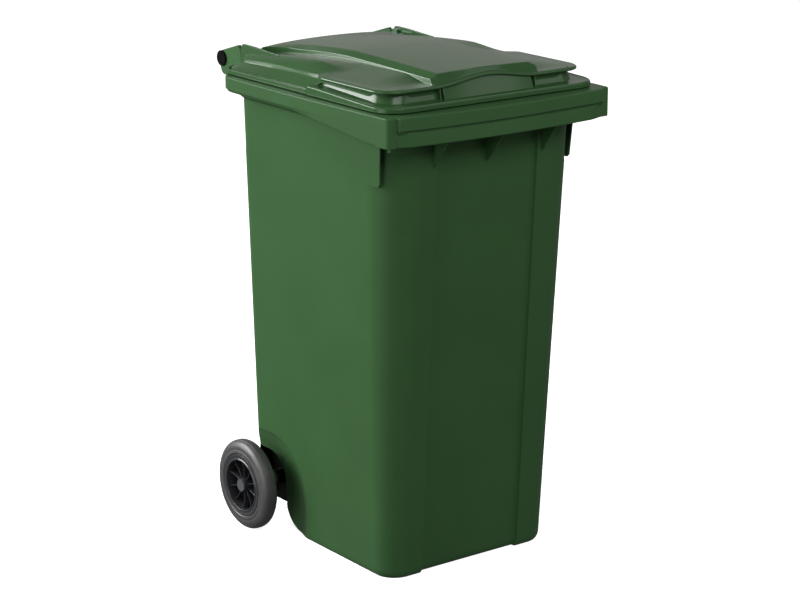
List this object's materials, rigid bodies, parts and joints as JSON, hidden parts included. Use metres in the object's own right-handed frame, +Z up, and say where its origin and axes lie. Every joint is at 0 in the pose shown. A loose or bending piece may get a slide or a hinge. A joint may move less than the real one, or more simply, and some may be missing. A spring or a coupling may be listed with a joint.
{
  "type": "wheelie bin",
  "caption": "Green two-wheeled refuse bin: tapered moulded tub with a lifting lip, hinged domed lid, rear handle bar and an axle with rubber-tyred wheels.",
  "frame": {"origin": "middle of the footprint box on the ground", "axes": "+Z up, -Y towards the front lifting lip, +Y towards the handle and wheels, +X to the right as seen from the front"},
  "size_m": [0.58, 0.7519, 1.074],
  "materials": {
    "green_plastic": "satin moulded green",
    "lid_plastic": "satin moulded green",
    "black_plastic": "matte black",
    "wheel_plastic": "semi-gloss black",
    "cap_plastic": "matte grey",
    "tyre_rubber": "matte dark grey",
    "zinc_steel": "zinc plated",
    "washer_steel": "zinc plated",
    "pin_steel": "plain steel",
    "spring_steel": "plain steel"
  },
  "bodies": {
    "tub": {"body": "green_plastic", "hinge_pin_left": "black_plastic", "hinge_pin_right": "black_plastic", "axle": "zinc_steel", "axle_washer_left": "washer_steel", "axle_washer_right": "washer_steel"},
    "lid": {"lid": "lid_plastic"},
    "wheel_left": {"wheel_rim_left": "wheel_plastic", "tyre_left": "tyre_rubber", "hub_cap_left": "cap_plastic", "lock_pin_left": "pin_steel", "lock_spring_left": "spring_steel"},
    "wheel_right": {"wheel_rim_right": "wheel_plastic", "tyre_right": "tyre_rubber", "hub_cap_right": "cap_plastic", "lock_pin_right": "pin_steel", "lock_spring_right": "spring_steel"}
  },
  "joints": [
    {"name": "lid_hinge", "type": "hinge", "parent": "tub", "child": "lid", "pos_m": [0, 0.359, 1.015], "axis": [-1, 0, 0], "range_deg": [0, 270]},
    {"name": "wheel_left_spin", "type": "hinge", "parent": "tub", "child": "wheel_left", "pos_m": [-0.268, 0.1906, 0.1], "axis": [1, 0, 0], "continuous": true},
    {"name": "wheel_right_spin", "type": "hinge", "parent": "tub", "child": "wheel_right", "pos_m": [0.268, 0.1906, 0.1], "axis": [1, 0, 0], "continuous": true}
  ]
}
